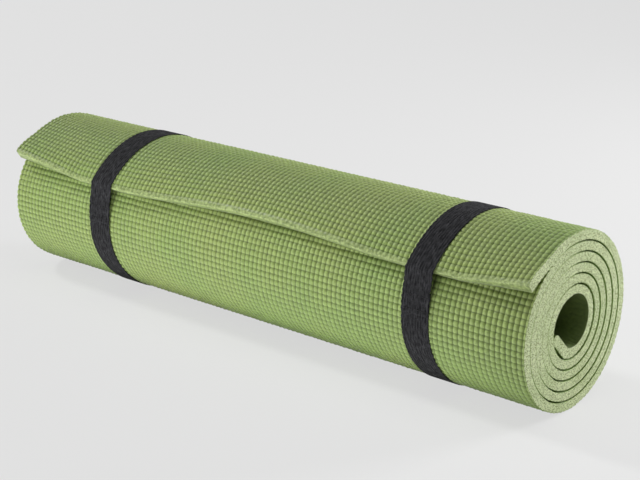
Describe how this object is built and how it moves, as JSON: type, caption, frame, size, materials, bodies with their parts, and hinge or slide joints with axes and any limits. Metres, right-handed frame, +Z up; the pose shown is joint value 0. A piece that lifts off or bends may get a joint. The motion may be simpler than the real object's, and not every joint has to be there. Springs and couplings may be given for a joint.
{
  "type": "rolled exercise mat",
  "caption": "Thick foam exercise mat with a raised grid on its surface, rolled up round an open core and held by elastic straps sewn into loops.",
  "frame": {"origin": "middle of the bottom of the box round the whole part, on the surface that it lies on", "axes": "+X along the roll towards the right strap's end, -Y the front, where the mat's free edge shows, +Z up"},
  "size_m": [0.61, 0.1522, 0.1535],
  "materials": {
    "foam": "matte foam with a raised grid",
    "elastic": "woven elastic with fine ribs along it",
    "thread": "spun sewing thread"
  },
  "bodies": {
    "mat": {"mat": "foam"},
    "left_strap": {"left_strap": "elastic", "left_strap_stitching": "thread"},
    "right_strap": {"right_strap": "elastic", "right_strap_stitching": "thread"}
  },
  "joints": [
    {"name": "left_strap_slide", "type": "slide", "parent": "mat", "child": "left_strap", "axis": [1, 0, 0], "range_m": [-0.02, 0.17]},
    {"name": "right_strap_slide", "type": "slide", "parent": "mat", "child": "right_strap", "axis": [1, 0, 0], "range_m": [-0.17, 0.02]}
  ]
}
